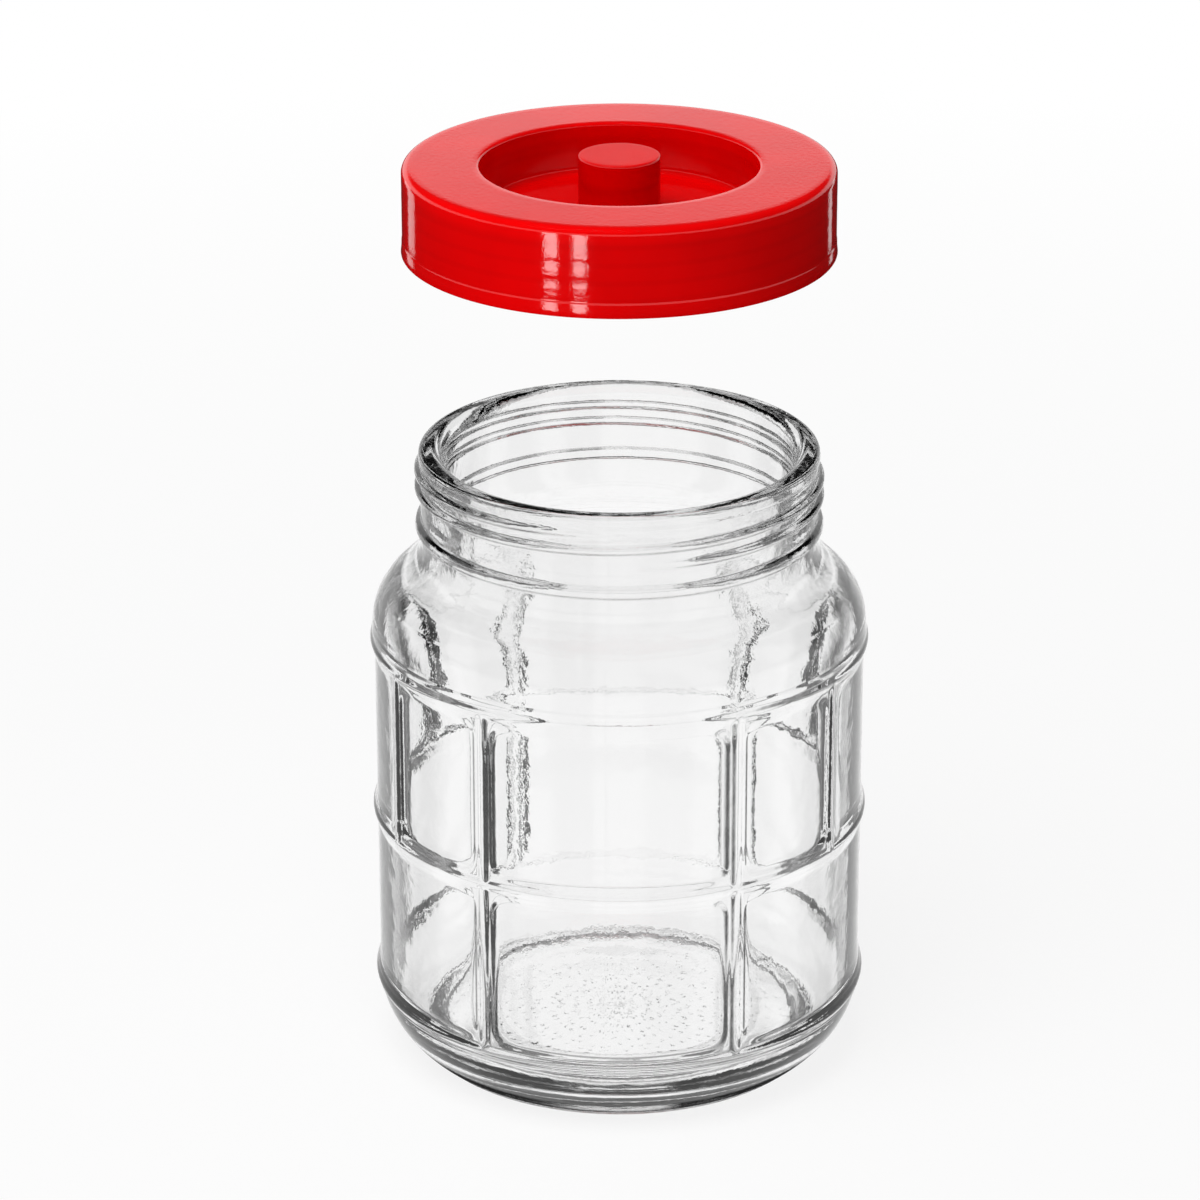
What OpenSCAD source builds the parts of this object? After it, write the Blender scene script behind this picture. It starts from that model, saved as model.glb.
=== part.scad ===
// Glass fermentation jar with a screw lid: a pressed-glass jar, a flat
// sealing ring and a one-piece moulded lid with a finger well and a boss.
// Millimetres, Z up. The origin is the centre of the foot, and the front of
// the jar, where its thread starts, faces -Y.
// The lid is drawn taken off, straight above the mouth.

/* [Glass body] */
// Largest diameter of the body, over its raised rings
body_d = 200; // [192:2:208]
// Height of the jar, from the foot to the rim
jar_h = 255; // [245:5:275]
// Thickness of the side wall behind the panels
wall = 5; // [4:0.5:6]
// Thickness of the glass under the floor of the jar
floor_t = 9; // [8:0.5:11]
// How far the rings stand out from the panels
relief = 1.7; // [1.4:0.1:2]
// Height of the lowest ring above the foot
low_ring_z = 30; // [28:1:34]
// How far the panel pattern is turned from the front
pattern_turn = 2.5; // [0:0.5:5]

/* [Mouth and neck] */
// Bore of the mouth
mouth_d = 140; // [134:1:142]
// Pitch of the screw thread
pitch = 7; // [6.6:0.1:7.4]
// Turns of thread on the neck
neck_turns = 2; // [1.5:0.25:2.25]
// How far the thread stands out from the neck
thread_h = 2.3; // [2:0.1:2.5]

/* [Lid] */
// How much wider the lid's bottom lip is than the mouth of the jar
lid_over = 30; // [26:0.5:34]
// Height of the lid, from its lip to its flat top
lid_h = 35; // [33:1:36]
// Thickness of the flat top and the well floor
lid_t = 3; // [2.5:0.5:3.5]
// Thickness of the skirt
skirt_t = 2.1; // [1.8:0.1:2.4]
// Diameter of the finger well
well_d = 108.6; // [100:0.2:116]
// Depth of the finger well
well_depth = 20.5; // [16:0.5:23]
// Diameter of the boss in the middle of the well
boss_d = 32; // [28:1:36]
// How far the boss rises above the flat top
boss_rise = 3.5; // [2:0.5:5]
// Turns of thread inside the skirt
lid_turns = 2.25; // [1.75:0.25:2.25]
// Whole turns between the closed lid and the place where it is drawn
turns_up = 16; // [15:1:18]

/* [Sealing ring] */
// Thickness of the sealing ring
seal_t = 1.5; // [1.2:0.1:2]

/* [Hidden] */
$fn = 96;

// body of the jar
body_r = body_d / 2;
panel_r = body_r - relief;
band_r = body_r - 1;
inner_r = panel_r - wall;
high_ring_z = jar_h - 79;
mid_ring_z = (low_ring_z + high_ring_z) / 2;
ring_s = 3;
rib_s = 4.6;
rib_r = body_r - 0.2;
web_r = panel_r + 0.9;
web_w = 7;
corner_s = 6;

// foot, heel and floor
foot_r = body_r - 17.5;
foot_in_r = foot_r - 9;
foot_h = 3;
push_up = 4.5;
heel_s = 38;
heel_z = low_ring_z + 2.5;
inner_heel_s = 24;

// raised disc in the middle of the floor inside, with a sloping edge and a slight dome
disc_r = inner_r - 43.3;
disc_edge = 9;
disc_rise = 1.9;
disc_dome = 0.5;

// neck, mouth and shoulder; the neck is sized from the lid that goes on it
mouth_r = mouth_d / 2;
lid_d = mouth_d + lid_over;
skirt_in_r = lid_d / 2 - 0.5 - skirt_t;
thread_room = 1.1;
neck_r = skirt_in_r - thread_room - thread_h;
lip_r = neck_r + 0.6;
lip_h = 4;
lip_s = 2;
mouth_s = 4.4;
bead_z = jar_h - 31.2;
bead_s = 2.6;
bead_r = neck_r + thread_h;
neck_z = jar_h - 37.5;
shoulder_s = 23.7;
throat_s = 18;
inner_shoulder_s = 18.7;
inner_throat_s = 20;

// line that the joint of the neck mould and the body mould leaves on the throat
joint_z = neck_z - 8.2;
joint_s = 0.9;
joint_r = neck_r + throat_s - sqrt(throat_s ^ 2 - (neck_z - joint_z) ^ 2) + 0.35;

// screw thread: the lid's ridge lies just under the neck's ridge
thread_z = jar_h - 6.6;
thread_w = 4.1;
lid_thread_w = 3.5;
lid_thread_r = lip_r + 0.35;
under_ridge = pitch / 2 - 0.5;
taper = 0.12;
steps = 64;

// lid, from its flat top at zero
boss_r = boss_d / 2;
boss_wall = 2.5;
well_r = well_d / 2;
well_wall = 2.5;
skirt_r = lid_d / 2 - 0.5;
lip_band = 5.5;
lip_slope = 0.2;
lid_top_z = jar_h + seal_t + lid_t;
lid_lift = turns_up * pitch;

// Points along an arc about c, from angle a0 to angle a1
function arc(c, s, a0, a1, n = 8) =
    [for (i = [0 : n]) let (a = a0 + (a1 - a0) * i / n) c + s * [cos(a), sin(a)]];

// Angle where a convex arc of radius s1 that leaves a wall at radius r1
// meets a hollow arc of radius s2 that ends on a wall at radius r2
function ogee(r1, s1, r2, s2) = acos((r2 + s2 - r1 + s1) / (s1 + s2));

// The ridge's cross-section at share k of its full height: a half oval
// that starts inside the wall, at the depth sunk
function ridge_section(h, w, k, sunk) =
    [for (a = [0 : 30 : 180]) [(h + sunk) * k * sin(a) - sunk, -w / 2 * cos(a)]];

// Moulded ridge that winds down from z0 round a wall of radius r.
// side is 1 on the outside of a wall and -1 on the inside, and from and
// turns count turns clockwise seen from above, from the front.
module ridge(r, h, w, z0, from, turns, side) {
    rings = ceil(turns * steps);
    section = len(ridge_section(h, w, 1, 0.8));
    run_out = 0.2;
    points = [for (i = [0 : rings])
        let (t = turns * i / rings,
             k = run_out + (1 - run_out) * min(1, t / taper, (turns - t) / taper),
             a = -90 - 360 * (from + t))
        for (p = ridge_section(h, w, k, 0.8))
            [(r + side * p.x) * cos(a), (r + side * p.x) * sin(a),
             z0 - pitch * (from + t) + p.y]];
    skin = [for (i = [0 : rings - 1]) for (j = [0 : section - 1])
        let (a = i * section + j, b = i * section + (j + 1) % section,
             c = a + section, d = b + section)
        each (side > 0 ? [[a, c, b], [b, c, d]] : [[a, b, c], [b, d, c]])];
    first = [for (j = [0 : section - 1]) j];
    last = [for (j = [0 : section - 1]) rings * section + section - 1 - j];
    caps = side > 0 ? [first, last] : [reverse(first), reverse(last)];
    polyhedron(points, concat(skin, caps), convexity = 10);
}
function reverse(v) = [for (i = [len(v) - 1 : -1 : 0]) v[i]];

// Outside of the glass, without its rings, ribs and thread
module glass_outside() {
    heel = asin((foot_h - heel_z) / heel_s);
    a = ogee(band_r, shoulder_s, neck_r, throat_s);
    shoulder_z = neck_z - (shoulder_s + throat_s) * sin(a);
    rotate_extrude() polygon(concat(
        [[0, push_up]],
        [[foot_in_r - 2, foot_h], [foot_in_r + 1, 0]],
        arc([foot_r - 1.5, 1.5], 1.5, -90, 0, 4),
        [[foot_r, foot_h]],
        arc([band_r - heel_s, heel_z], heel_s, heel, asin((low_ring_z - heel_z) / heel_s), 14),
        [[panel_r, low_ring_z], [panel_r, high_ring_z]],
        arc([band_r - shoulder_s, shoulder_z], shoulder_s, 0, a, 12),
        arc([neck_r + throat_s, neck_z], throat_s, 180 + a, 180, 8),
        [[neck_r, jar_h - lip_h - 0.6], [lip_r, jar_h - lip_h]],
        arc([lip_r - lip_s, jar_h - lip_s], lip_s, 0, 90, 6),
        [[0, jar_h]]));
}

// Space inside the glass, with the rounded lip of the mouth
module glass_inside() {
    a = ogee(inner_r, inner_shoulder_s, mouth_r, inner_throat_s);
    shoulder_z = neck_z - (inner_shoulder_s + inner_throat_s) * sin(a);
    rotate_extrude() polygon(concat(
        [[0, floor_t + disc_rise + disc_dome], [disc_r, floor_t + disc_rise]],
        [[disc_r + disc_edge, floor_t]],
        arc([inner_r - inner_heel_s, floor_t + inner_heel_s], inner_heel_s, -90, 0, 12),
        arc([inner_r - inner_shoulder_s, shoulder_z], inner_shoulder_s, 0, a, 10),
        arc([mouth_r + inner_throat_s, neck_z], inner_throat_s, 180 + a, 180, 8),
        arc([mouth_r + mouth_s, jar_h - mouth_s], mouth_s, 180, 90, 8),
        [[mouth_r + mouth_s, jar_h + 2], [0, jar_h + 2]]));
}

// Raised ring round the glass
module ring(r, s, z) {
    rotate_extrude() translate([r - s, z]) circle(r = s);
}

// Angles of the ribs from the middle of the pattern
wide_ribs = [30, 150, 210, 330];
all_ribs = concat(wide_ribs, [60, 120, 240, 300]);

// Turns its children to face each of the given angles
module facing(angles) {
    for (a = angles) rotate([0, 0, -90 - pattern_turn + a]) children();
}

// Upright rib with a round crown, between two rings
module rib(z0, z1) {
    translate([rib_r - rib_s, 0, z0]) cylinder(r = rib_s, h = z1 - z0);
}

// Foot of a rib, which flares at both ends to round the panels' corners
module rib_flare(z0, z1) {
    translate([inner_r, 0, 0]) rotate([90, 0, 90]) linear_extrude(wall + relief + 2) {
        translate([-web_w / 2, z0]) square([web_w, z1 - z0]);
        for (end = [0, 1], side = [-1, 1])
            translate([0, end ? z1 : z0]) mirror([side > 0 ? 0 : 1, 0]) mirror([0, end])
                difference() {
                    translate([web_w / 2 - 0.5, 0]) square(corner_s + ring_s);
                    translate([web_w / 2 + corner_s, ring_s + corner_s - 0.5])
                        circle(r = corner_s);
                    translate([web_w / 2 + corner_s, 0]) square(corner_s * 2);
                    translate([web_w / 2, ring_s + corner_s - 0.5]) square(corner_s * 2);
                }
    }
}

// Pressed-glass jar with two rows of panels
module glass_jar() {
    color([0.86, 0.93, 0.92, 0.4]) difference() {
        union() {
            glass_outside();
            for (z = [low_ring_z, mid_ring_z, high_ring_z]) ring(body_r, ring_s, z);
            ring(bead_r, bead_s, bead_z);
            ring(joint_r, joint_s, joint_z);
            facing(wide_ribs) rib(low_ring_z, mid_ring_z);
            facing(all_ribs) rib(mid_ring_z, high_ring_z);
            intersection() {
                union() {
                    facing(wide_ribs) rib_flare(low_ring_z, mid_ring_z);
                    facing(all_ribs) rib_flare(mid_ring_z, high_ring_z);
                }
                translate([0, 0, low_ring_z])
                    cylinder(r = web_r, h = high_ring_z - low_ring_z);
            }
            ridge(neck_r, thread_h, thread_w, thread_z, 0, neck_turns, 1);
        }
        glass_inside();
    }
}

// Flat ring that seals the lid on the rim
module seal_ring() {
    color([0.93, 0.92, 0.88]) translate([0, 0, jar_h + lid_lift]) difference() {
        cylinder(r = skirt_in_r - 0.6, h = seal_t);
        translate([0, 0, -1]) cylinder(r = mouth_r + 1, h = seal_t + 2);
    }
}

// One-piece lid: flat top, skirt with a lip, finger well and hollow boss
module lid_shell() {
    deep = -well_depth;
    rotate_extrude() polygon(concat(
        arc([boss_r - 1, boss_rise - 1], 1, 90, 0, 4),
        arc([boss_r + 1.5, deep + 1.5], 1.5, 180, 270, 4),
        arc([well_r - 3, deep + 3], 3, 270, 360, 6),
        arc([well_r + 1.2, -1.2], 1.2, 180, 90, 4),
        arc([skirt_r - 3, -3], 3, 90, 0, 6),
        [[skirt_r, 0.5 + lip_band - lid_h], [lid_d / 2 - lip_slope, lip_band - lid_h]],
        [[lid_d / 2, 0.6 - lid_h], [lid_d / 2 - 0.6, -lid_h], [skirt_in_r, -lid_h]],
        [[skirt_in_r, -lid_t], [well_r + well_wall, -lid_t]],
        arc([well_r - 2.5, deep - lid_t + well_wall + 2.5], well_wall + 2.5, 0, -90, 6),
        [[boss_r - boss_wall, deep - lid_t], [boss_r - boss_wall, boss_rise - lid_t]],
        [[0, boss_rise - lid_t], [0, boss_rise]]));
}

module lid() {
    color([0.83, 0.02, 0.03]) translate([0, 0, lid_lift]) {
        translate([0, 0, lid_top_z]) lid_shell();
        ridge(skirt_in_r, skirt_in_r - lid_thread_r, lid_thread_w,
              thread_z - under_ridge, -1, lid_turns, -1);
    }
}

glass_jar();
seal_ring();
lid();
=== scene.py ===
"""Builds the visual model of a glass fermentation jar with a red screw lid.

The solid model is loaded first as a fixed frame. The jar and the lid are
then spun and shaped as finer pieces in the same place, and the sealing ring
keeps its solid and gets a rubber finish.
"""

import math

import bmesh
import bpy
from mathutils import Matrix, Vector


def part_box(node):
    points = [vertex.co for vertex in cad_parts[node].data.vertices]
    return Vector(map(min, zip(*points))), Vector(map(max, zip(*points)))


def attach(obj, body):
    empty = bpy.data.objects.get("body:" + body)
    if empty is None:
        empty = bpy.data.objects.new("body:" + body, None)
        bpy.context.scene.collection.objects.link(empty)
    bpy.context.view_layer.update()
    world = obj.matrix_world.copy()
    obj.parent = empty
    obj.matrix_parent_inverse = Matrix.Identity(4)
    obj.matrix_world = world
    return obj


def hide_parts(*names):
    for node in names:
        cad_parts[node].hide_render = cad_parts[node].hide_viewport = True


bl_info = {
    "name": "Glass Fermentation Jar",
    "version": (1, 0, 0),
    "blender": (4, 5, 0),
    "location": "3D View > Sidebar > Jar",
    "description": "Makes a panelled pressed-glass jar, its lid and its studio",
    "category": "Object",
}

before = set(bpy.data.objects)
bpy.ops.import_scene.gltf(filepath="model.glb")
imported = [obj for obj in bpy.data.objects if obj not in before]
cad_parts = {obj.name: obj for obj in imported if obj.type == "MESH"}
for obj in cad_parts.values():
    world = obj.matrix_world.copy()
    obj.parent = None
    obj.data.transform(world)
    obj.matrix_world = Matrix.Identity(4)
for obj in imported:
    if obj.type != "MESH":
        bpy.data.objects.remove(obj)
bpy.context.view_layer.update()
MM = 0.001
GLASS_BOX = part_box("glass_jar")
LID_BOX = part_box("lid")
RING_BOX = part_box("seal_ring")

# the moulded pattern, with heights in millimetres and ribs in degrees from the front
LOW_RING, MIDDLE_RING, HIGH_RING = 30.0, 103.0, 176.0
WIDE_RIBS = (30, 150, 210, 330)
ALL_RIBS = (30, 60, 120, 150, 210, 240, 300, 330)
PATTERN_TURN = 2.5
RING_ROUND, RIB_ROUND, EDGE_RISE = 3, 4.6, 0.9

# angles round the Z axis of the mould's two joint lines, in degrees
SEAM_TURN = 3.4
SEAMS = (-90 - SEAM_TURN, 90 - SEAM_TURN)

# widths round the jar are measured at this radius, in millimetres
GAUGE = 100

# radii and heights of the jar's outline in millimetres, the drops counted from its rim
GLASS_WALL = 5
NECK, LIP, MOUTH = 79.0, 79.6, 70.0
NECK_DROP = 37.5
HEEL_ROUND, HEEL_Z = 38, 32.5
HEEL_BOTTOM, HEEL_TOP = 3, 26
SHOULDER_ROUND, THROAT_ROUND = 23.7, 18
INNER_SHOULDER, INNER_THROAT = 18.7, 20
INNER_HEEL, INNER_HEEL_Z, FLOOR_Z, DISC_Z = 24, 33, 9, 11.4
RIM_ROUND, MOUTH_ROUND = 2, 4.4
BEAD_DROP, BEAD_ROUND, BEAD_CREST = 31.2, 2.6, 81.3
JOINT_Z, JOINT_RELIEF, SEAM_RELIEF = 209.3, 0.35, 0.07

# the screw thread in millimetres and turns, counted down from its start
PITCH = 7
THREAD_DROP = 6.6
JAR_TURNS, LID_TURNS = 2, 2.25
JAR_THREAD_WIDTH, LID_THREAD_WIDTH, SINK_WIDTH = 4.1, 3.5, 5.0
LID_THREAD_DROP = 3
LID_THREAD_CREST = 79.95

# insets from the lid's lip to its skirt and to the skirt's inside, in millimetres
SKIRT_INSET, INSIDE_INSET = 0.5, 2.6
BOSS_RISE = 3.5

# light seen through the glass, by degrees right of straight back
SCREENS_AND_FLAGS = (
    (-180, 0.9), (-127, 0.9), (-124, 0.3), (-105, 0.3), (-101, 0.9), (-82, 0.9),
    (-78, 0.12), (-56, 0.12), (-52, 0.9), (-38, 0.9), (-35, 0.1), (-26, 0.1),
    (-23.5, 0.5), (-21.5, 0.01), (-13, 0.01), (-11, 1.0), (10, 1.0), (17, 0.06),
    (34, 0.06), (38, 0.9), (51, 0.9), (54, 0.1), (78, 0.12), (82, 0.9),
    (98, 0.9), (102, 0.3), (124, 0.3), (127, 0.9), (143, 0.9), (147, 0.3),
    (165, 0.3), (170, 0.9),
)

# painted shadow: the paper's grey under the foot as glass shows it, by decimetres from the
# middle
PAINTED_FOOT_SHADOW = (
    (0.56, 1), (0.59, 0.35), (0.64, 0.35), (0.66, 1), (0.68, 1), (0.7, 0.1),
    (0.75, 0.1), (0.77, 1), (0.8, 1), (0.815, 0.05), (0.865, 0.05), (0.885, 1),
)

# softboxes by name, degrees right of the front, width and height in metres, and radiance
STRIPS = (
    ("strip_front_inner", -19.0, 0.062, 0.16, 8.5),
    ("strip_front_outer", -33.2, 0.062, 0.16, 8.5),
    ("strip_back_left", -135, 0.1, 0.2, 1.2),
    ("strip_back_right", 140, 0.06, 0.2, 1.2),
)
STRIP_DISTANCE, STRIP_MIDDLE = 0.55, 0.275


def linear(hex_colour):
    """Turns an sRGB hex colour into the linear values that a shader reads."""
    parts = [int(hex_colour[i : i + 2], 16) / 255 for i in (1, 3, 5)]
    return [p / 12.92 if p <= 0.04045 else ((p + 0.055) / 1.055) ** 2.4 for p in parts]


class JarSizes(bpy.types.PropertyGroup):
    """Sizes of the pieces, in metres, taken from the frame where it has them"""

    body_radius: bpy.props.FloatProperty(
        name="Body radius",
        description="Radius of the jar over its raised rings",
        default=GLASS_BOX[1].x,
        unit="LENGTH",
    )
    jar_height: bpy.props.FloatProperty(
        name="Jar height",
        description="Height of the jar from its foot to its rim",
        default=GLASS_BOX[1].z,
        unit="LENGTH",
    )
    relief: bpy.props.FloatProperty(
        name="Relief",
        description="How far the rings stand out from the panels",
        default=1.7 * MM,
        unit="LENGTH",
    )
    panel_corner: bpy.props.FloatProperty(
        name="Panel corner",
        description="Radius of the corners of each panel",
        default=8 * MM,
        unit="LENGTH",
    )
    thread_height: bpy.props.FloatProperty(
        name="Thread height",
        description="How far the screw thread stands out from the neck",
        default=2.3 * MM,
        unit="LENGTH",
    )
    lid_radius: bpy.props.FloatProperty(
        name="Lid radius",
        description="Radius of the lid over its bottom lip",
        default=LID_BOX[1].x,
        unit="LENGTH",
    )
    sink_depth: bpy.props.FloatProperty(
        name="Sink depth",
        description="Depth of the shallow sinks that the thread leaves in the lid's skirt",
        default=0.025 * MM,
        unit="LENGTH",
    )


class JarColours(bpy.types.PropertyGroup):
    """Colours of the finishes"""

    glass: bpy.props.FloatVectorProperty(
        name="Glass",
        description="Tint of the clear pressed glass",
        subtype="COLOR",
        default=linear("#FEFEFE"),
        min=0,
        max=1,
    )
    lid: bpy.props.FloatVectorProperty(
        name="Lid",
        description="Red of the moulded lid",
        subtype="COLOR",
        default=linear("#E90002"),
        min=0,
        max=1,
    )
    seal: bpy.props.FloatVectorProperty(
        name="Seal",
        description="Off-white of the sealing ring",
        subtype="COLOR",
        default=linear("#E9E6DC"),
        min=0,
        max=1,
    )
    floor: bpy.props.FloatVectorProperty(
        name="Floor",
        description="Colour of the pale floor",
        subtype="COLOR",
        default=linear("#F2F2F2"),
        min=0,
        max=1,
    )


def arc(centre, radius, start, end, steps):
    """Points of an arc in the outline's plane, with its angles in degrees."""
    points = []
    for i in range(steps + 1):
        a = math.radians(start + (end - start) * i / steps)
        points.append((centre[0] + radius * math.cos(a), centre[1] + radius * math.sin(a)))
    return points


def line(start, end, steps):
    """Points of a straight run, without its two ends."""
    return [
        (start[0] + (end[0] - start[0]) * i / steps, start[1] + (end[1] - start[1]) * i / steps)
        for i in range(1, steps)
    ]


def held(outline):
    """Adds a point close to each end of a straight run that meets a finer arc or a kink
    there, so that smooth shading bends only beside the turn."""
    reach, shortest, kink, bend = 0.25, 1.5, 0.2, 0.015
    ways = [Vector((r2 - r1, z2 - z1)) for (r1, z1), (r2, z2) in zip(outline, outline[1:])]
    points = [outline[0]]
    for i, way in enumerate(ways):
        start = Vector(outline[i])
        for near, share in ((i - 1, reach / way.length), (i + 1, 1 - reach / way.length)):
            if way.length > shortest and 0 <= near < len(ways):
                turn = way.angle(ways[near])
                finer = ways[near].length < 0.6 * way.length
                if turn > kink or (turn > bend and finer):
                    points.append(tuple(start + way * share))
        points.append(outline[i + 1])
    return points


def ogee(r1, s1, r2, s2):
    """Angle where a round shoulder of radius s1 meets a hollow throat of radius s2."""
    return math.degrees(math.acos((r2 + s2 - r1 + s1) / (s1 + s2)))


def ramp(low, high, value):
    """Smooth step from 0 at low to 1 at high."""
    t = min(1.0, max(0.0, (value - low) / (high - low)))
    return t * t * (3 - 2 * t)


def blend_max(a, b, width):
    """The larger of two heights, with a rounded corner where they meet."""
    h = max(width - abs(a - b), 0.0) / width
    return max(a, b) + h * h * width / 4


def rounded(crest, size, off):
    """Height of a rounded ridge of this radius, at a distance off from its middle."""
    return crest - size + math.sqrt(size**2 - off**2)


def apart(degrees, other):
    """Signed angle from one direction to another, from -180 to 180 degrees."""
    return (degrees - other + 180) % 360 - 180


def lathe(outline, columns):
    """Spins an outline of (radius, height) points, in millimetres, a quarter turn
    round the Z axis, and sets three turned copies of the quarter beside it."""
    bm = bmesh.new()
    verts = [bm.verts.new((r, 0, z)) for r, z in outline]
    edges = [bm.edges.new(pair) for pair in zip(verts, verts[1:])]
    bmesh.ops.spin(
        bm,
        geom=verts + edges,
        cent=(0, 0, 0),
        axis=(0, 0, 1),
        dvec=(0, 0, 0),
        angle=math.tau / 4,
        steps=columns // 4,
        use_merge=False,
        use_duplicate=False,
    )
    quarter = bm.verts[:] + bm.edges[:] + bm.faces[:]
    for turn in (1, 2, 3):
        copy = bmesh.ops.duplicate(bm, geom=quarter)["geom"]
        moved = [item for item in copy if isinstance(item, bmesh.types.BMVert)]
        around = Matrix.Rotation(math.tau / 4 * turn, 3, "Z")
        bmesh.ops.rotate(bm, verts=moved, cent=(0, 0, 0), matrix=around)
    bmesh.ops.remove_doubles(bm, verts=bm.verts[:], dist=4e-3)
    bmesh.ops.recalc_face_normals(bm, faces=bm.faces[:])
    return bm


def finish_piece(bm, name, material, body, node):
    """Turns millimetres to metres and puts the piece in its node's place."""
    bmesh.ops.scale(bm, vec=(MM, MM, MM), verts=bm.verts[:])
    mesh = bpy.data.meshes.new(name)
    bm.to_mesh(mesh)
    bm.free()
    mesh.shade_smooth()
    mesh.materials.append(material)
    piece = bpy.data.objects.new(name, mesh)
    bpy.context.scene.collection.objects.link(piece)
    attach(piece, body)
    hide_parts(node)


def add(tree, kind, sockets=None, **settings):
    """Adds a node, gives it its settings, and sets or links its input sockets."""
    node = tree.nodes.new(kind)
    for name, value in settings.items():
        setattr(node, name, value)
    for socket, value in (sockets or {}).items():
        if isinstance(value, bpy.types.NodeSocket):
            tree.links.new(value, node.inputs[socket])
        else:
            node.inputs[socket].default_value = value
    return node


def fill_ramp(ramp, stops):
    """Gives a colour ramp these stops, each a place along it and a grey level."""
    while len(ramp.elements) < len(stops):
        ramp.elements.new(0.5)
    for element, (place, grey) in zip(ramp.elements, sorted(stops)):
        element.position = place
        element.color = (grey, grey, grey, 1)


def new_material(name):
    """An empty material with its node tree and output."""
    material = bpy.data.materials.new(name)
    material.use_nodes = True
    material.node_tree.nodes.clear()
    output = add(material.node_tree, "ShaderNodeOutputMaterial")
    return material, material.node_tree, output


def facing(degrees):
    """Angle round the Z axis of a place that many degrees round from the front."""
    return -90 - PATTERN_TURN + degrees


def glass_columns():
    """Angles of the jar's columns, close together over each rib and seam."""
    close = (0, 0.5, 1.0, 1.5, 2.0, 2.5, 3.0, 3.5, 4.2, 5.2, 7.0)
    widest_column = 2.2
    angles = set()
    for rib in ALL_RIBS:
        for offset in close:
            for side in (-1, 1):
                angles.add(round((facing(rib) + side * math.degrees(offset / GAUGE)) % 360, 3))
    for seam in SEAMS:
        for offset in (-0.9, -0.45, 0, 0.45, 0.9):
            angles.add(round((seam + math.degrees(offset / GAUGE)) % 360, 3))
    ordered = sorted(angles)
    filled = []
    for here, there in zip(ordered, ordered[1:] + [ordered[0] + 360]):
        parts = max(1, round((there - here) / widest_column))
        filled += [here + (there - here) * i / parts for i in range(parts)]
    while len(filled) % 4:
        gaps = [there - here for here, there in zip(filled, filled[1:])]
        widest = gaps.index(max(gaps))
        filled.insert(widest + 1, filled[widest] + max(gaps) / 2)
    return filled


def ring_rows(height):
    """Heights of the rows that draw one raised ring."""
    offsets = (-5, -4, -3.4, -3, -2.6, -2, -1.3, -0.6, 0, 0.6, 1.3, 2, 2.6, 3, 3.4, 4, 5)
    return [height + offset for offset in offsets]


def panel_rows(low, high):
    """Heights of the rows between two rings, close together at the panel's ends."""
    ends = (6, 7, 8.2, 9.6, 11.4, 14)
    last = ends[-1]
    middle = [low + last + (high - low - 2 * last) * i / 6 for i in range(1, 6)]
    return [low + e for e in ends] + middle + [high - e for e in reversed(ends)]


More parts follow.
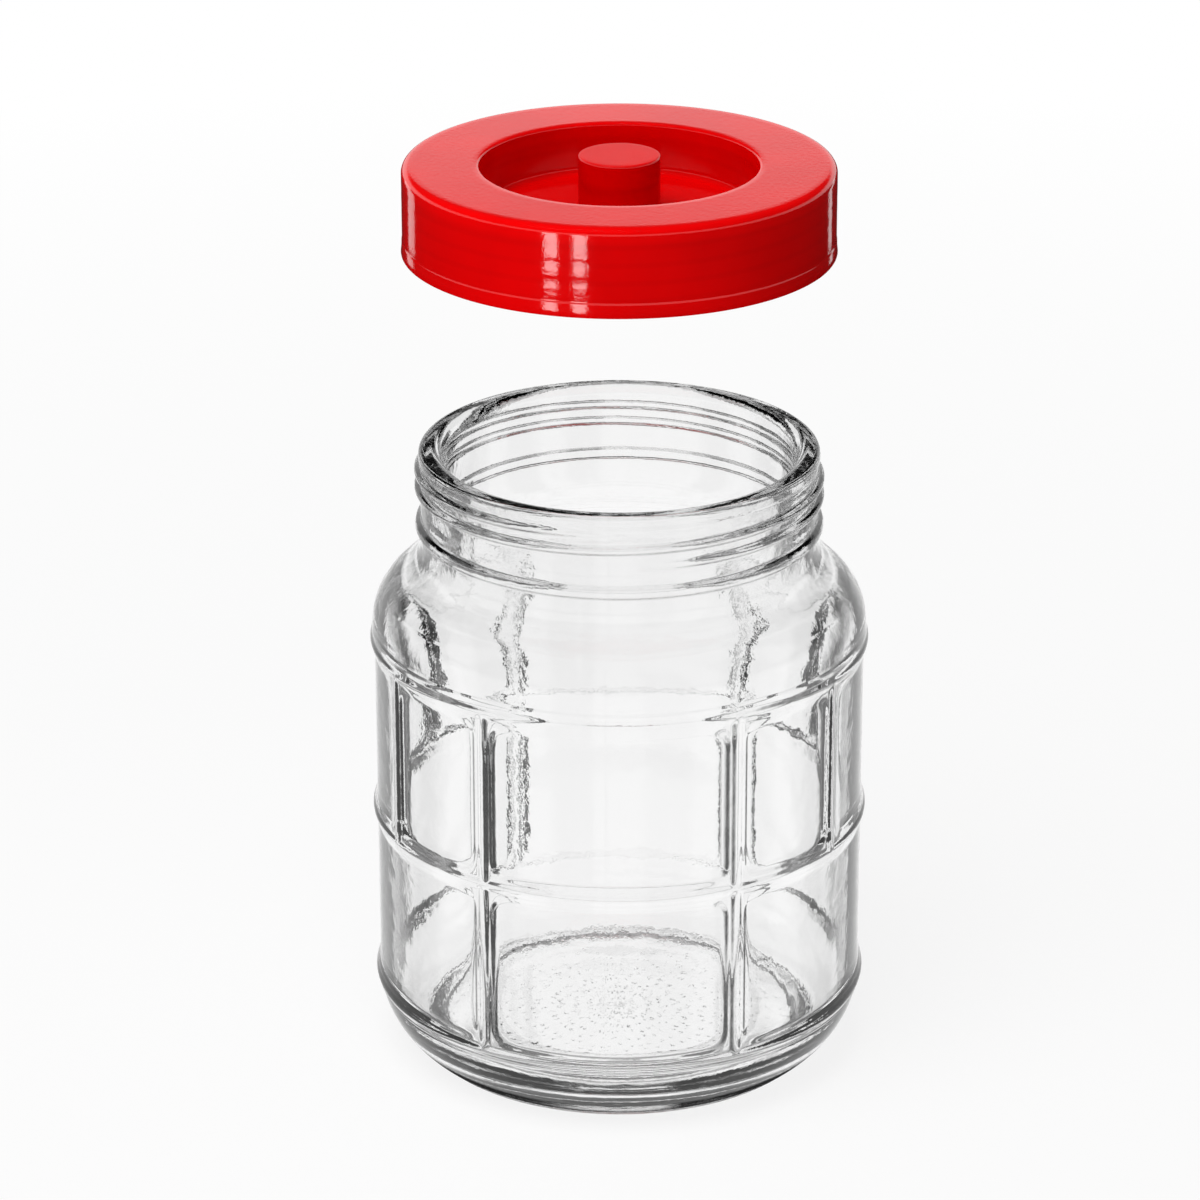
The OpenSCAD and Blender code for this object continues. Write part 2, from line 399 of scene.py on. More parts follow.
def glass_outline(sizes):
    """Closed outline of the jar from under its middle, over the rim, to its floor."""
    body = sizes.body_radius / MM
    height = sizes.jar_height / MM
    band, panel = body - 1, body - sizes.relief / MM
    inner = panel - GLASS_WALL
    neck_z = height - NECK_DROP
    heel_low = math.degrees(math.asin((HEEL_BOTTOM - HEEL_Z) / HEEL_ROUND))
    heel_high = math.degrees(math.asin((HEEL_TOP - HEEL_Z) / HEEL_ROUND))
    shoulder = ogee(band, SHOULDER_ROUND, NECK, THROAT_ROUND)
    shoulder_z = neck_z - (SHOULDER_ROUND + THROAT_ROUND) * math.sin(math.radians(shoulder))
    inside = ogee(inner, INNER_SHOULDER, MOUTH, INNER_THROAT)
    inside_z = neck_z - (INNER_SHOULDER + INNER_THROAT) * math.sin(math.radians(inside))
    wall = sorted(
        set(
            ring_rows(LOW_RING)[3:]
            + panel_rows(LOW_RING, MIDDLE_RING)
            + ring_rows(MIDDLE_RING)
            + panel_rows(MIDDLE_RING, HIGH_RING)
            + ring_rows(HIGH_RING)
        )
    )
    row_step = 0.6
    thread_rows = [neck_z + 1 + row_step * i for i in range(55)]
    hollow, hollow_edge = (0, 4.5), (71.5, 3.2)
    base = [hollow] + line(hollow, hollow_edge, 7) + [hollow_edge]
    foot = arc((74.5, 1.0), 1.0, 160, 270, 6) + arc((80.8, 1.6), 1.6, -90, -10, 7)
    heel = arc((band - HEEL_ROUND, HEEL_Z), HEEL_ROUND, heel_low, heel_high, 16)
    panels = [(panel, z) for z in wall if z > HEEL_TOP + 0.5]
    over = arc((band - SHOULDER_ROUND, shoulder_z), SHOULDER_ROUND, 0, shoulder, 16)
    throat = arc((NECK + THROAT_ROUND, neck_z), THROAT_ROUND, 180 + shoulder, 180, 10)[1:]
    thread = [(NECK, z) for z in thread_rows if z < height - 4.7]
    rim = [(LIP, height - 2 * RIM_ROUND)]
    rim += arc((LIP - RIM_ROUND, height - RIM_ROUND), RIM_ROUND, 0, 90, 7)
    mouth_lip = arc((MOUTH + MOUTH_ROUND, height - MOUTH_ROUND), MOUTH_ROUND, 90, 180, 9)
    bore = line((MOUTH, height - MOUTH_ROUND), (MOUTH, neck_z), 6)
    inner_throat = arc((MOUTH + INNER_THROAT, neck_z), INNER_THROAT, 180, 180 + inside, 10)
    inner_shoulder = arc((inner - INNER_SHOULDER, inside_z), INNER_SHOULDER, inside, 0, 12)[1:]
    inner_wall = line((inner, inside_z), (inner, INNER_HEEL_Z), 8)
    inner_heel = arc((inner - INNER_HEEL, INNER_HEEL_Z), INNER_HEEL, 0, -90, 18)
    inner_heel += [(65, FLOOR_Z)]
    disc = inner - 43.3
    floor = [(disc + 10, FLOOR_Z), (disc + 8.5, 9.1), (disc + 7.5, 9.35), (disc + 1.5, 10.6)]
    floor += [(disc + 0.5, 10.85)] + line((disc - 1, 10.91), (0, DISC_Z), 6) + [(0, DISC_Z)]
    outside = base + foot + heel + panels + over + throat + thread + rim + mouth_lip
    return held(outside + bore + inner_throat + inner_shoulder + inner_wall + inner_heel + floor)


def panel_depth(degrees, z, corner):
    """Distance in millimetres from the edge of the panel that this place is in."""
    upper = z > MIDDLE_RING
    low, high = (MIDDLE_RING, HIGH_RING) if upper else (LOW_RING, MIDDLE_RING)
    ribs = ALL_RIBS if upper else WIDE_RIBS
    middle, half_height = (low + high) / 2, (high - low) / 2 - RING_ROUND
    rib_half_width = 3.4
    best = -20.0
    for here, there in zip(ribs, ribs[1:] + (ribs[0] + 360,)):
        off = abs(apart(degrees, facing((here + there) / 2)))
        half_width = math.radians((there - here) / 2) * GAUGE - rib_half_width
        x = math.radians(off) * GAUGE - half_width + corner
        y = abs(z - middle) - half_height + corner
        outside = math.hypot(max(x, 0), max(y, 0)) + min(max(x, y), 0) - corner
        best = max(best, -outside)
    return best


def outside_radius(degrees, z, sizes):
    """Radius of the jar's outside over its panels, ribs and rings."""
    crest = sizes.body_radius / MM
    radius = (sizes.body_radius - sizes.relief) / MM
    if LOW_RING <= z <= HIGH_RING:
        depth = panel_depth(degrees, z, sizes.panel_corner / MM)
        radius += EDGE_RISE * (1 - ramp(-0.6, 2.6, depth))
    else:
        radius += EDGE_RISE
    for ring in (LOW_RING, MIDDLE_RING, HIGH_RING):
        if abs(z - ring) < RING_ROUND:
            radius = blend_max(radius, rounded(crest, RING_ROUND, z - ring), 0.5)
    upper = MIDDLE_RING <= z <= HIGH_RING
    lower = LOW_RING <= z <= MIDDLE_RING
    for rib in ALL_RIBS if upper else WIDE_RIBS if lower else ():
        off = math.radians(apart(degrees, facing(rib))) * GAUGE
        if abs(off) < RIB_ROUND:
            radius = blend_max(radius, rounded(crest - 0.2, RIB_ROUND, off), 0.5)
    return radius


def thread_height(degrees, z, start, first, turns, width):
    """How far a screw ridge stands out here, as a share of its full height."""
    around = ((-90 - degrees) % 360) / 360
    tapered = 0.12
    best = 0.0
    for turn in range(math.floor(first) - 1, math.ceil(first + turns) + 1):
        t = turn + around
        if not first <= t <= first + turns:
            continue
        ends = ramp(0, tapered, min(t - first, first + turns - t))
        off = abs(z - (start - PITCH * t))
        best = max(best, ends * (1 - ramp(width * 0.14, width * 0.52, off)))
    return best


def shape_glass(bm, sizes):
    """Moves the spun jar's vertices to its panels, ribs, rings, thread and seams."""
    columns = glass_columns()
    count = len(columns)
    height = sizes.jar_height / MM
    between_walls, between_necks = 94.6, 76.5
    for vert in bm.verts:
        x, y, z = vert.co
        radius = math.hypot(x, y)
        if radius < 1e-3:
            continue
        column = round(math.degrees(math.atan2(y, x)) % 360 / (360 / count)) % count
        degrees = columns[column]
        wall = radius > between_walls
        outer = wall or (z > 190 and radius > between_necks)
        if wall and HEEL_TOP + 0.4 < z < HIGH_RING + 5.5:
            least = radius - EDGE_RISE if z > HIGH_RING + 4 else 0
            radius = max(outside_radius(degrees, z, sizes), least)
        if z > height - NECK_DROP + 0.5 and radius > NECK - 0.5:
            start = height - THREAD_DROP
            share = thread_height(degrees, z, start, 0, JAR_TURNS, JAR_THREAD_WIDTH)
            radius += sizes.thread_height / MM * share
            bead = abs(z - (height - BEAD_DROP))
            if bead < BEAD_ROUND:
                radius = blend_max(radius, rounded(BEAD_CREST, BEAD_ROUND, bead), 0.4)
        if radius > NECK - 1:
            radius += JOINT_RELIEF * (1 - ramp(0.3, 1.3, abs(z - JOINT_Z)))
        if outer and z > HEEL_BOTTOM:
            off = math.radians(min(abs(apart(degrees, seam)) for seam in SEAMS)) * GAUGE
            radius += SEAM_RELIEF * (1 - ramp(0.1, 0.9, off))
        a = math.radians(degrees)
        vert.co = (radius * math.cos(a), radius * math.sin(a), z)


def glass_material(colours):
    """Clear soda-lime glass, pressed in a mould: bright, with the slow ripple that
    the plunger leaves inside and the dimpled base that a cold mould gives."""
    material, tree, output = new_material("pressed_soda_lime_glass")
    place = add(tree, "ShaderNodeTexCoord").outputs["Object"]
    rim = GLASS_BOX[1].z
    # the ripple of the chilled skin is 9 mm across, with a finer one of 2.2 mm on it
    slow = add(
        tree,
        "ShaderNodeTexNoise",
        {"Vector": place, "Scale": 1 / 0.009, "Detail": 1.0, "Roughness": 0.5},
    )
    fine = add(
        tree,
        "ShaderNodeTexNoise",
        {"Vector": place, "Scale": 1 / 0.0022, "Detail": 2.0, "Roughness": 0.6},
    )
    ripple = add(
        tree,
        "ShaderNodeMath",
        {0: fine.outputs["Fac"], 1: 0.25, 2: slow.outputs["Fac"]},
        operation="MULTIPLY_ADD",
    )
    spot = add(tree, "ShaderNodeSeparateXYZ", {"Vector": place})
    level = add(tree, "ShaderNodeCombineXYZ", {"X": spot.outputs["X"], "Y": spot.outputs["Y"]})
    reach = add(tree, "ShaderNodeVectorMath", {0: level.outputs[0]}, operation="LENGTH")
    # the ripple is strong inside, and faint outside where the mould pressed the glass smooth
    inside = add(
        tree,
        "ShaderNodeMapRange",
        {
            "Value": reach.outputs["Value"],
            "From Min": 0.0938,
            "From Max": 0.0946,
            "To Min": 1.0,
            "To Max": 0.15,
        },
    )
    # the neck, drawn in and cooled first, is more wavy than the body
    neck = add(
        tree,
        "ShaderNodeMapRange",
        {
            "Value": spot.outputs["Z"],
            "From Min": rim - 0.046,
            "From Max": rim - 0.034,
            "To Min": 1.0,
            "To Max": 2.2,
        },
    )
    wavy = add(
        tree,
        "ShaderNodeMath",
        {0: ripple.outputs["Value"], 1: neck.outputs["Result"]},
        operation="MULTIPLY",
    )
    skin = add(
        tree,
        "ShaderNodeMath",
        {0: wavy.outputs["Value"], 1: inside.outputs["Result"]},
        operation="MULTIPLY",
    )
    # round dimples under the base, in rings 5.5 mm apart with 46 round each ring
    turn = add(
        tree,
        "ShaderNodeMath",
        {0: spot.outputs["Y"], 1: spot.outputs["X"]},
        operation="ARCTAN2",
    )
    around = add(
        tree,
        "ShaderNodeMath",
        {0: turn.outputs[0], 1: 46 / math.tau},
        operation="MULTIPLY",
    )
    across = add(
        tree,
        "ShaderNodeMath",
        {0: reach.outputs["Value"], 1: 1 / 0.0055},
        operation="MULTIPLY",
    )
    polar = add(tree, "ShaderNodeCombineXYZ", {"X": around.outputs[0], "Y": across.outputs[0]})
    dimples = add(
        tree,
        "ShaderNodeTexVoronoi",
        {"Vector": polar.outputs[0], "Scale": 1.0, "Randomness": 0.6},
        voronoi_dimensions="2D",
    )
    dent = add(
        tree,
        "ShaderNodeMapRange",
        {"Value": dimples.outputs["Distance"], "From Min": 0.1, "From Max": 0.24},
        interpolation_type="SMOOTHSTEP",
    )
    low = add(
        tree,
        "ShaderNodeMapRange",
        {"Value": spot.outputs["Z"], "From Min": 0.0062, "From Max": 0.0052},
    )
    under = add(
        tree,
        "ShaderNodeMath",
        {0: dent.outputs["Result"], 1: low.outputs["Result"]},
        operation="MULTIPLY",
    )
    waves = add(
        tree,
        "ShaderNodeBump",
        {"Height": skin.outputs["Value"], "Strength": 1.0, "Distance": 0.0001},
    )
    dented = add(
        tree,
        "ShaderNodeBump",
        {
            "Height": under.outputs["Value"],
            "Strength": 1.0,
            "Distance": 0.00006,
            "Normal": waves.outputs["Normal"],
        },
    )
    # painted shade: the glass's colour is drawn darker at the thick foot and the wavy neck,
    # where less light comes straight through
    share = add(
        tree,
        "ShaderNodeMath",
        {0: spot.outputs["Z"], 1: 1 / rim},
        operation="MULTIPLY",
    )
    painted_shade_ramp = add(tree, "ShaderNodeValToRGB", {"Fac": share.outputs[0]})
    painted_shade_by_height = ((0.045, 0.93), (0.06, 0.985), (0.4, 0.99), (0.8, 0.97), (0.87, 0.93))
    fill_ramp(painted_shade_ramp.color_ramp, painted_shade_by_height)
    tint_and_painted_shade = add(
        tree,
        "ShaderNodeVectorMath",
        {0: tuple(colours.glass), 1: painted_shade_ramp.outputs["Color"]},
        operation="MULTIPLY",
    )
    glass = add(
        tree,
        "ShaderNodeBsdfPrincipled",
        {
            "Base Color": tint_and_painted_shade.outputs[0],
            "Roughness": 0.0,
            "IOR": 1.52,
            "Transmission Weight": 1.0,
            "Normal": dented.outputs["Normal"],
        },
    )
    haze = add(
        tree,
        "ShaderNodeVolumeAbsorption",
        {"Color": (0.5, 0.5, 0.5, 1), "Density": 1.6},
    )
    tree.links.new(glass.outputs["BSDF"], output.inputs["Surface"])
    tree.links.new(haze.outputs["Volume"], output.inputs["Volume"])
    return material


class JAR_OT_make_glass(bpy.types.Operator):
    """Spins and shapes the pressed-glass jar"""

    bl_idname = "jar.make_glass"
    bl_label = "Make the Glass Jar"

    def execute(self, context):
        sizes = context.scene.jar_sizes
        bm = lathe(glass_outline(sizes), len(glass_columns()))
        shape_glass(bm, sizes)
        material = glass_material(context.scene.jar_colours)
        finish_piece(bm, "pressed_glass_jar", material, "jar", "glass_jar")
        return {"FINISHED"}


def lid_outline(sizes):
    """Closed outline of the lid from its boss, down the skirt, to its underside."""
    top = LID_BOX[1].z / MM - BOSS_RISE
    low = LID_BOX[0].z / MM - top
    lip = sizes.lid_radius / MM
    skirt, inner = lip - SKIRT_INSET, lip - INSIDE_INSET
    well, boss, deep, ceiling = 54.3, 16.0, -20.5, -3
    cup_out, cup_deep, hollow_out, hollow_top = well + 2.5, deep - 3, boss - 2.5, 0.5
    boss_top = line((0, BOSS_RISE), (boss - 1, BOSS_RISE), 8)
    boss_top += arc((boss - 1, BOSS_RISE - 1), 1, 90, 0, 6)
    boss_side = line((boss, BOSS_RISE - 1), (boss, deep + 1.5), 12)
    boss_foot = arc((boss + 1.5, deep + 1.5), 1.5, 180, 270, 6)
    well_floor = line((boss + 1.5, deep), (well - 3, deep), 14)
    well_edge = arc((well - 3, deep + 3), 3, 270, 360, 8)
    well_side = line((well, deep + 3), (well, -1.2), 12)
    brim = arc((well + 1.2, -1.2), 1.2, 180, 90, 6)
    flat = line((well + 1.2, 0), (skirt - 3, 0), 12)
    edge = arc((skirt - 3, -3), 3, 90, 0, 10)
    side = line((skirt, -3), (skirt, low + 5.9), 54) + [(skirt, low + 5.9)]
    band = [(lip - 0.36, low + 5.6), (lip - 0.3, low + 5.2), (lip - 0.28, low + 3.2)]
    band += [(lip, low + 0.6)] + arc((lip - 0.6, low + 0.6), 0.6, 0, -90, 4)[1:]
    rise = [(inner + 0.3, low), (inner, low + 0.3)]
    inside = line(rise[-1], (inner, -3.6), 62) + arc((inner - 0.6, -3.6), 0.6, 0, 90, 3)
    under = line((inner - 0.6, ceiling), (cup_out, ceiling), 8) + [(cup_out, ceiling)]
    cup = line((cup_out, ceiling), (cup_out, deep + 2), 8)
    cup += arc((well - 2.5, deep + 2), 5, 0, -90, 8)
    below = line((well - 2.5, cup_deep), (hollow_out, cup_deep), 10) + [(hollow_out, cup_deep)]
    hollow = line((hollow_out, cup_deep), (hollow_out, hollow_top), 10)
    roof = [(hollow_out, hollow_top)] + line((hollow_out, hollow_top), (0, hollow_top), 5)
    points = [(0, BOSS_RISE)] + boss_top + boss_side + boss_foot + well_floor + well_edge
    points += well_side + brim + flat + edge + side + band + rise + inside + under + cup
    points += below + hollow + roof + [(0, hollow_top)]
    return [(r, z + top) for r, z in points]


def shape_lid(bm, sizes):
    """Raises the thread inside the skirt and sinks the skirt behind it."""
    lip = sizes.lid_radius / MM
    skirt, inner = lip - SKIRT_INSET, lip - INSIDE_INSET
    lift = (RING_BOX[0].z - GLASS_BOX[1].z) / MM
    start = sizes.jar_height / MM - THREAD_DROP - LID_THREAD_DROP + lift
    for vert in bm.verts:
        x, y, z = vert.co
        radius = math.hypot(x, y)
        if abs(radius - inner) < 0.1:
            width, depth = LID_THREAD_WIDTH, inner - LID_THREAD_CREST
        elif abs(radius - skirt) < 0.1:
            width, depth = SINK_WIDTH, sizes.sink_depth / MM
        else:
            continue
        degrees = math.degrees(math.atan2(y, x))
        moved = radius - depth * thread_height(degrees, z, start, -1, LID_TURNS, width)
        vert.co = (x * moved / radius, y * moved / radius, z)


def lid_material(colours):
    """Polypropylene, injection moulded in a polished tool: a deep wet-looking red,
    with a faint orange peel, and a coarser patch on the boss where the gate was."""
    material, tree, output = new_material("moulded_red_polypropylene")
    place = add(tree, "ShaderNodeTexCoord").outputs["Object"]
    spot = add(tree, "ShaderNodeSeparateXYZ", {"Vector": place})
    top = LID_BOX[1].z
    pitch = PITCH * MM
    # flow marks about 30 mm long change the red by a few hundredths
    flow = add(
        tree,
        "ShaderNodeTexNoise",
        {"Vector": place, "Scale": 1 / 0.03, "Detail": 3.0, "Roughness": 0.5},
    )
    shade = add(
        tree,
        "ShaderNodeMapRange",
        {
            "Value": flow.outputs["Fac"],
            "From Min": 0.3,
            "From Max": 0.7,
            "To Min": 0.94,
            "To Max": 1.05,
        },
    )
    # painted shade: the skirt is drawn darker in bands over the thread inside it, where the wall
    # is thicker and a little less light comes through
    turn = add(
        tree,
        "ShaderNodeMath",
        {0: spot.outputs["Y"], 1: spot.outputs["X"]},
        operation="ARCTAN2",
    )
    climb = add(
        tree,
        "ShaderNodeMath",
        {0: turn.outputs[0], 1: -1.0, 2: LID_BOX[0].z * math.tau / pitch - 2.2},
        operation="MULTIPLY_ADD",
    )
    phase = add(
        tree,
        "ShaderNodeMath",
        {0: spot.outputs["Z"], 1: math.tau / pitch, 2: climb.outputs[0]},
        operation="MULTIPLY_ADD",
    )
    ridge = add(tree, "ShaderNodeMath", {0: phase.outputs[0]}, operation="COSINE")
    skirt = add(
        tree,
        "ShaderNodeMapRange",
        {"Value": spot.outputs["Z"], "From Min": top - 0.010, "From Max": top - 0.008},
    )
    painted_thread_shade = add(
        tree,
        "ShaderNodeMapRange",
        {
            "Value": ridge.outputs[0],
            "From Min": 0.2,
            "From Max": 1.0,
            "To Min": 0.9,
            "To Max": 0.86,
        },
        interpolation_type="SMOOTHSTEP",
    )
    painted_thread_bands = add(
        tree,
        "ShaderNodeMix",
        {"Factor": skirt.outputs["Result"], "A": painted_thread_shade.outputs["Result"], "B": 1.0},
        data_type="FLOAT",
    )
    # painted shade: the red inside the well is drawn darker, as the well's walls keep light out
    # and send their red back and forth
    level = add(tree, "ShaderNodeCombineXYZ", {"X": spot.outputs["X"], "Y": spot.outputs["Y"]})
    reach = add(tree, "ShaderNodeVectorMath", {0: level.outputs[0]}, operation="LENGTH")
    outside = add(
        tree,
        "ShaderNodeMapRange",
        {"Value": reach.outputs["Value"], "From Min": 0.0544, "From Max": 0.0555},
    )
    high = add(
        tree,
        "ShaderNodeMapRange",
        {"Value": spot.outputs["Z"], "From Min": top - 0.009, "From Max": top - 0.004},
    )
    open_to_light = add(
        tree,
        "ShaderNodeMath",
        {0: outside.outputs["Result"], 1: high.outputs["Result"]},
        operation="MAXIMUM",
    )
    depth = add(
        tree,
        "ShaderNodeMapRange",
        {"Value": open_to_light.outputs[0], "To Min": 0.93, "To Max": 1.0},
    )
    flow_marks_and_painted_shade = add(
        tree,
        "ShaderNodeMath",
        {0: shade.outputs["Result"], 1: depth.outputs["Result"]},
        operation="MULTIPLY",
    )
    tone = add(
        tree,
        "ShaderNodeMath",
        {0: flow_marks_and_painted_shade.outputs[0], 1: painted_thread_bands.outputs["Result"]},
        operation="MULTIPLY",
    )
    red = add(
        tree,
        "ShaderNodeVectorMath",
        {0: tuple(colours.lid), "Scale": tone.outputs[0]},
        operation="SCALE",
    )
    # orange peel of 1.6 mm, drawn a little coarser than the real one so that it shows
    peel = add(
        tree,
        "ShaderNodeTexNoise",
        {"Vector": place, "Scale": 1 / 0.0016, "Detail": 2.0, "Roughness": 0.5},
    )
    # grain of the gate patch on top of the boss, 0.6 mm
    grain = add(
        tree,
        "ShaderNodeTexNoise",
        {"Vector": place, "Scale": 1 / 0.0006, "Detail": 3.0, "Roughness": 0.7},
    )
    boss_top = add(
        tree,
        "ShaderNodeMapRange",
        {"Value": spot.outputs["Z"], "From Min": top - 0.0006, "From Max": top - 0.0002},
    )
    rough = add(
        tree,
        "ShaderNodeMapRange",
        {"Value": boss_top.outputs["Result"], "To Min": 0.07, "To Max": 0.4},
    )
    peel_bump = add(
        tree,
        "ShaderNodeBump",
        {"Height": peel.outputs["Fac"], "Strength": 1.0, "Distance": 0.00003},
    )
    patch = add(
        tree,
        "ShaderNodeMath",
        {0: grain.outputs["Fac"], 1: boss_top.outputs["Result"]},
        operation="MULTIPLY",
    )
    patch_bump = add(
        tree,
        "ShaderNodeBump",
        {
            "Height": patch.outputs["Value"],
            "Strength": 1.0,
            "Distance": 0.00012,
            "Normal": peel_bump.outputs["Normal"],
        },
    )
    plastic = add(
        tree,
        "ShaderNodeBsdfPrincipled",
        {
            "Base Color": red.outputs["Vector"],
            "Roughness": rough.outputs["Result"],
            "IOR": 1.49,
            "Normal": patch_bump.outputs["Normal"],
        },
    )
    tree.links.new(plastic.outputs["BSDF"], output.inputs["Surface"])
    return material


class JAR_OT_make_lid(bpy.types.Operator):
    """Spins and shapes the one-piece moulded lid"""

    bl_idname = "jar.make_lid"
    bl_label = "Make the Lid"

    def execute(self, context):
        sizes = context.scene.jar_sizes
        bm = lathe(lid_outline(sizes), 256)
        shape_lid(bm, sizes)
        material = lid_material(context.scene.jar_colours)
        finish_piece(bm, "moulded_lid", material, "lid", "lid")
        return {"FINISHED"}


def seal_material(colours):
    """Food-grade silicone rubber, pressed from sheet: matt and a little chalky."""
    material, tree, output = new_material("pressed_silicone_rubber")
    place = add(tree, "ShaderNodeTexCoord").outputs["Object"]
    # bloom in soft patches of 12 mm, and a fine skin of 0.5 mm
    bloom = add(tree, "ShaderNodeTexNoise", {"Vector": place, "Scale": 1 / 0.012, "Detail": 2.0})
    skin = add(tree, "ShaderNodeTexNoise", {"Vector": place, "Scale": 1 / 0.0005, "Detail": 2.0})
    shade = add(
        tree,
        "ShaderNodeMapRange",
        {
            "Value": bloom.outputs["Fac"],
            "From Min": 0.3,
            "From Max": 0.7,
            "To Min": 0.93,
            "To Max": 1.03,
        },
    )
    cream = add(
        tree,
        "ShaderNodeVectorMath",
        {0: tuple(colours.seal), "Scale": shade.outputs["Result"]},
        operation="SCALE",
    )
    rough = add(
        tree,
        "ShaderNodeMapRange",
        {"Value": bloom.outputs["Fac"], "To Min": 0.5, "To Max": 0.75},
    )
    bump = add(
        tree,
        "ShaderNodeBump",
        {"Height": skin.outputs["Fac"], "Strength": 1.0, "Distance": 0.00003},
    )
    rubber = add(
        tree,
        "ShaderNodeBsdfPrincipled",
        {
            "Base Color": cream.outputs["Vector"],
            "Roughness": rough.outputs["Result"],
            "IOR": 1.41,
            "Subsurface Weight": 0.15,
            "Subsurface Scale": 0.001,
            "Normal": bump.outputs["Normal"],
        },
    )
    tree.links.new(rubber.outputs["BSDF"], output.inputs["Surface"])
    return material


class JAR_OT_finish_seal(bpy.types.Operator):
    """Gives the sealing ring its rubber finish"""

    bl_idname = "jar.finish_seal"
    bl_label = "Finish the Sealing Ring"

    def execute(self, context):
        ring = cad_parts["seal_ring"]
        ring.data.materials.clear()
        ring.data.materials.append(seal_material(context.scene.jar_colours))
        return {"FINISHED"}


def floor_material(colours):
    """Seamless white paper that the camera sees as white, with a soft shadow on it."""
    material, tree, output = new_material("white_sweep_paper")
    path = add(tree, "ShaderNodeLightPath")
    place = add(tree, "ShaderNodeTexCoord").outputs["Object"]
    # paper fibre, 2 mm, drawn coarse enough to give the shade a trace of grain
    fibre = add(tree, "ShaderNodeTexNoise", {"Vector": place, "Scale": 1 / 0.002, "Detail": 2.0})
    shade = add(
        tree,
        "ShaderNodeMapRange",
        {"Value": fibre.outputs["Fac"], "To Min": 0.985, "To Max": 1.0},
    )
    paper_colour = add(
        tree,
        "ShaderNodeVectorMath",
        {0: tuple(colours.floor), "Scale": shade.outputs["Result"]},
        operation="SCALE",
    )
    paper = add(tree, "ShaderNodeBsdfDiffuse", {"Color": paper_colour.outputs["Vector"]})
    white = add(tree, "ShaderNodeEmission", {"Color": (1, 1, 1, 1), "Strength": 1.0})
    away = add(tree, "ShaderNodeVectorMath", {0: place}, operation="LENGTH")
    # the camera sees a seventh of the real shade by the foot, and none 1.4 m away
    shaded = add(
        tree,
        "ShaderNodeMapRange",
        {
            "Value": away.outputs["Value"],
            "From Min": 0.4,
            "From Max": 1.4,
            "To Min": 0.14,
            "To Max": 0.0,
        },
    )
    lit = add(
        tree,
        "ShaderNodeMixShader",
        {0: shaded.outputs["Result"], 1: white.outputs[0], 2: paper.outputs[0]},
    )
    pale = add(
        tree,
        "ShaderNodeMixShader",
        {0: path.outputs["Is Camera Ray"], 1: paper.outputs[0], 2: lit.outputs[0]},
    )
    # gloss sees a dark floor round the object
    glow = add(
        tree,
        "ShaderNodeMapRange",
        {
            "Value": away.outputs["Value"],
            "From Min": 0.7,
            "From Max": 1.3,
            "To Min": 0.0,
            "To Max": 0.02,
        },
    )
    card = add(
        tree,
        "ShaderNodeEmission",
        {"Color": (1, 1, 1, 1), "Strength": glow.outputs["Result"]},
    )
    mirrored = add(
        tree,
        "ShaderNodeMixShader",
        {0: path.outputs["Is Glossy Ray"], 1: pale.outputs[0], 2: card.outputs[0]},
    )
    # painted shadow: the light comes from behind, so the foot shades the paper under its front,
    # drawn into what light through the glass sees
    spot = add(tree, "ShaderNodeSeparateXYZ", {"Vector": place})
    out = add(tree, "ShaderNodeMath", {0: away.outputs["Value"], 1: 10.0}, operation="MULTIPLY")
    under = add(tree, "ShaderNodeValToRGB", {"Fac": out.outputs[0]})
    fill_ramp(under.color_ramp, PAINTED_FOOT_SHADOW)
    front = add(
        tree,
        "ShaderNodeMapRange",
        {"Value": spot.outputs["Y"], "From Min": -0.05, "From Max": 0.0},
    )
    shadow = add(
        tree,
        "ShaderNodeMix",
        {"Factor": front.outputs["Result"], "A": under.outputs["Color"], "B": 1.0},
        data_type="FLOAT",
    )
    clear = add(tree, "ShaderNodeBsdfTransparent", {"Color": shadow.outputs["Result"]})
    sharp = add(
        tree,
        "ShaderNodeMath",
        {0: path.outputs["Is Transmission Ray"], 1: path.outputs["Is Singular Ray"]},
        operation="MAXIMUM",
    )
    through_glass = add(
        tree,
        "ShaderNodeMath",
        {0: sharp.outputs[0], 1: path.outputs["Is Camera Ray"]},
        operation="SUBTRACT",
        use_clamp=True,
    )
    floor = add(
        tree,
        "ShaderNodeMixShader",
        {0: through_glass.outputs[0], 1: mirrored.outputs[0], 2: clear.outputs[0]},
    )
    tree.links.new(floor.outputs[0], output.inputs["Surface"])
    return material


